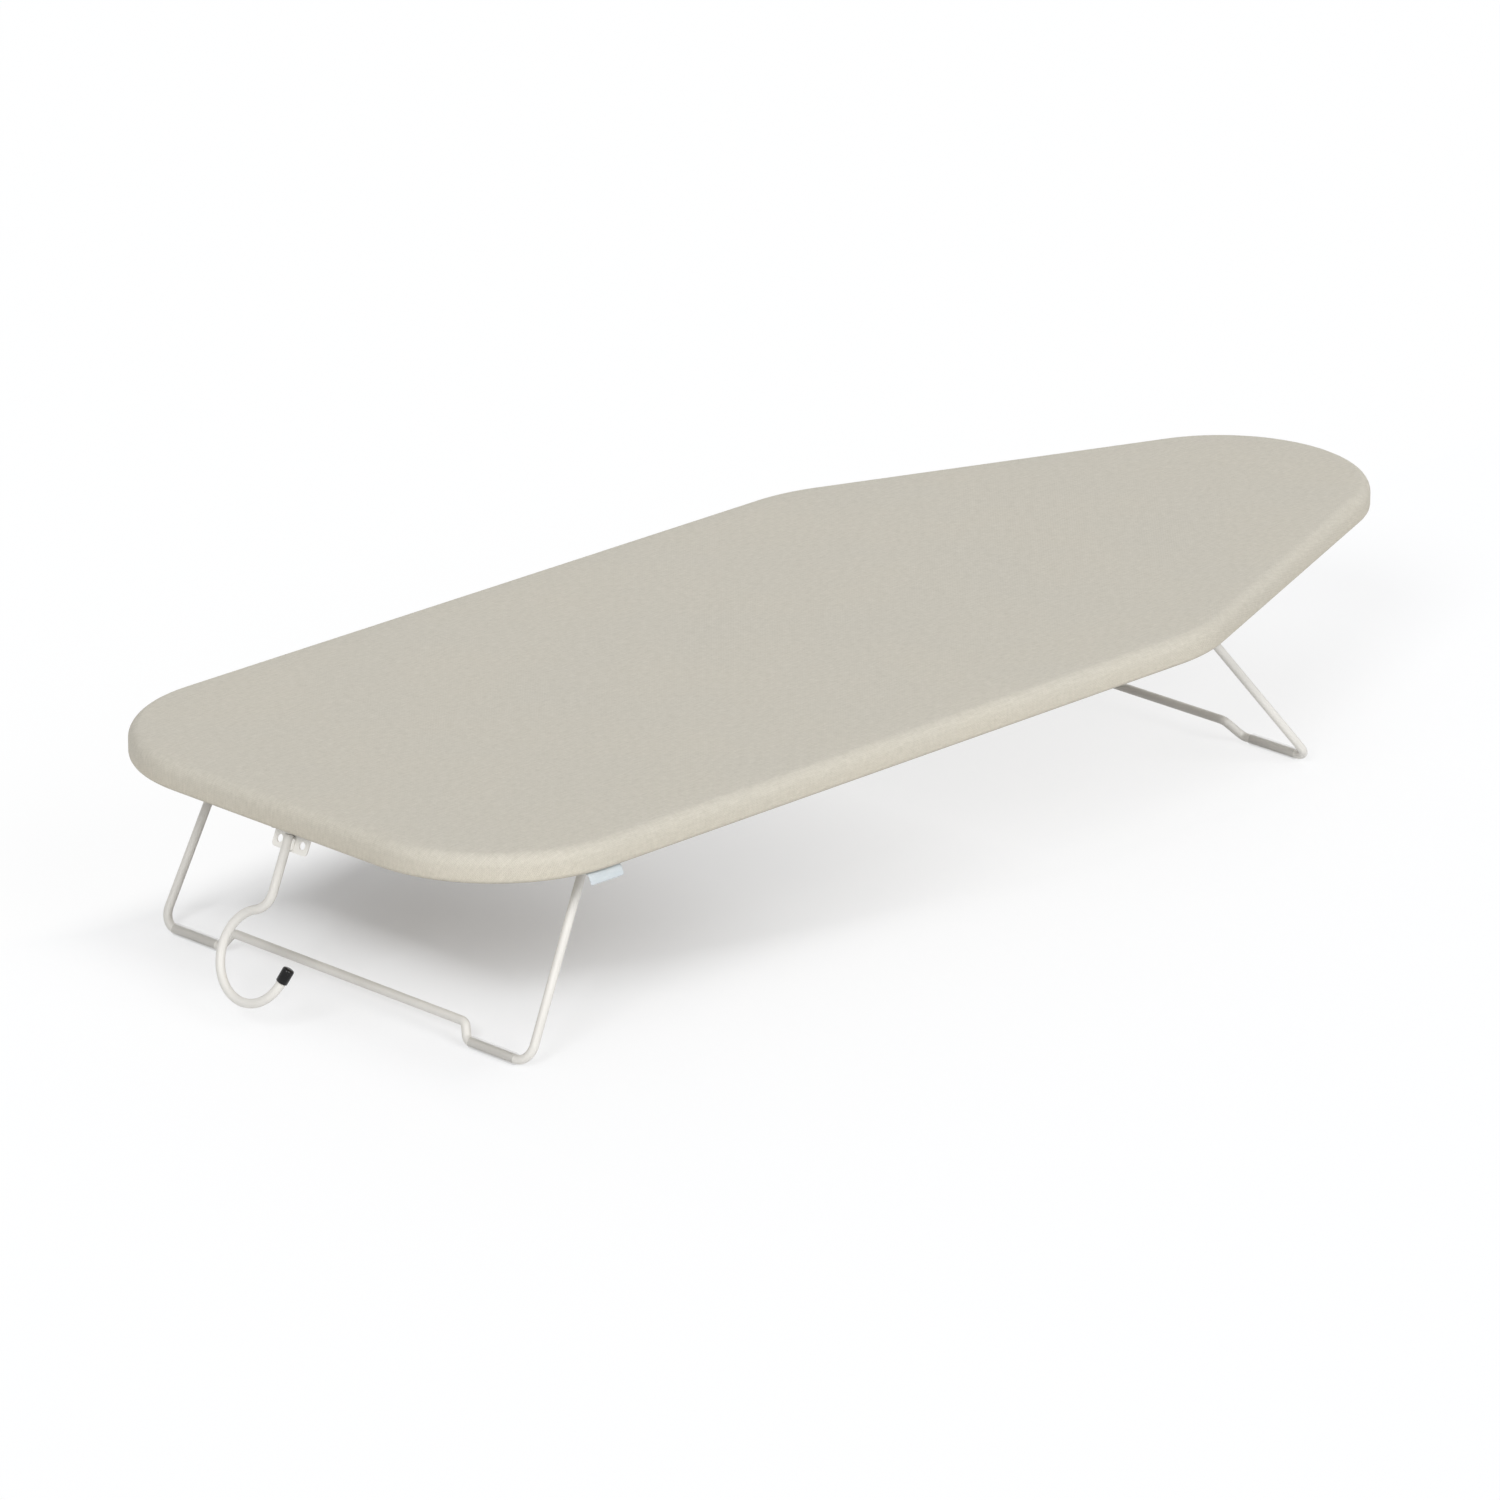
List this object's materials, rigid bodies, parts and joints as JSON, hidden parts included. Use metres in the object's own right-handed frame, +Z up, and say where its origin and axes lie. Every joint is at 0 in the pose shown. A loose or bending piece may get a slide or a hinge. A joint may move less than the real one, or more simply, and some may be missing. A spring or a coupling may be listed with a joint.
{
  "type": "tabletop ironing board",
  "caption": "Tabletop ironing board: flat fabric-covered pad with a tapered round nose, folding bent-wire legs with sleeved feet, and a folding wire hook at the heel to hang it by.",
  "frame": {"origin": "on the table under the middle of the open board's box, with the feet standing on Z 0", "axes": "+X along the board towards the rounded nose, +Y across it towards the side away from the tag, +Z up from the table"},
  "size_m": [0.7636, 0.3, 0.1133],
  "materials": {
    "cover_fabric": "plain-woven cotton, warm light grey, matt",
    "pad_foam": "soft foam underlay, off-white",
    "deck_fibreboard": "bare fibreboard, fine and flat",
    "wire_paint": "warm white powder coat, satin",
    "foot_sleeve": "soft clear-grey vinyl tube",
    "cap_rubber": "black rubber, satin",
    "screw_zinc": "bright zinc plate",
    "tag_fabric": "pale woven tape, left bare"
  },
  "bodies": {
    "board": {"deck": "deck_fibreboard", "pad": "pad_foam", "cover": "cover_fabric", "cover_tag": "tag_fabric", "heel_saddle_front": "wire_paint", "heel_saddle_back": "wire_paint", "nose_saddle_front": "wire_paint", "nose_saddle_back": "wire_paint", "hook_bracket": "wire_paint", "heel_saddle_front_screw_outer": "screw_zinc", "heel_saddle_front_screw_inner": "screw_zinc", "heel_saddle_back_screw_outer": "screw_zinc", "heel_saddle_back_screw_inner": "screw_zinc", "nose_saddle_front_screw_outer": "screw_zinc", "nose_saddle_front_screw_inner": "screw_zinc", "nose_saddle_back_screw_outer": "screw_zinc", "nose_saddle_back_screw_inner": "screw_zinc", "hook_bracket_screw_front": "screw_zinc", "hook_bracket_screw_back": "screw_zinc", "hook_pin": "screw_zinc"},
    "heel_leg": {"heel_leg_wire": "wire_paint", "heel_foot_sleeve_front": "foot_sleeve", "heel_foot_sleeve_back": "foot_sleeve"},
    "nose_leg": {"nose_leg_wire": "wire_paint", "nose_foot_sleeve_front": "foot_sleeve", "nose_foot_sleeve_back": "foot_sleeve"},
    "hook": {"hook_plate": "wire_paint", "hook_wire": "wire_paint", "hook_cap": "cap_rubber"}
  },
  "joints": [
    {"name": "heel_leg_fold", "type": "hinge", "parent": "board", "child": "heel_leg", "pos_m": [-0.26878, 0, 0.09715], "axis": [0, -1, 0], "range_deg": [0, 115]},
    {"name": "nose_leg_fold", "type": "hinge", "parent": "board", "child": "nose_leg", "pos_m": [0.17372, 0, 0.09715], "axis": [0, 1, 0], "range_deg": [0, 128]},
    {"name": "hook_swing", "type": "hinge", "parent": "board", "child": "hook", "pos_m": [-0.34548, 0, 0.0949], "axis": [0, 1, 0], "range_deg": [-112, 67]}
  ]
}
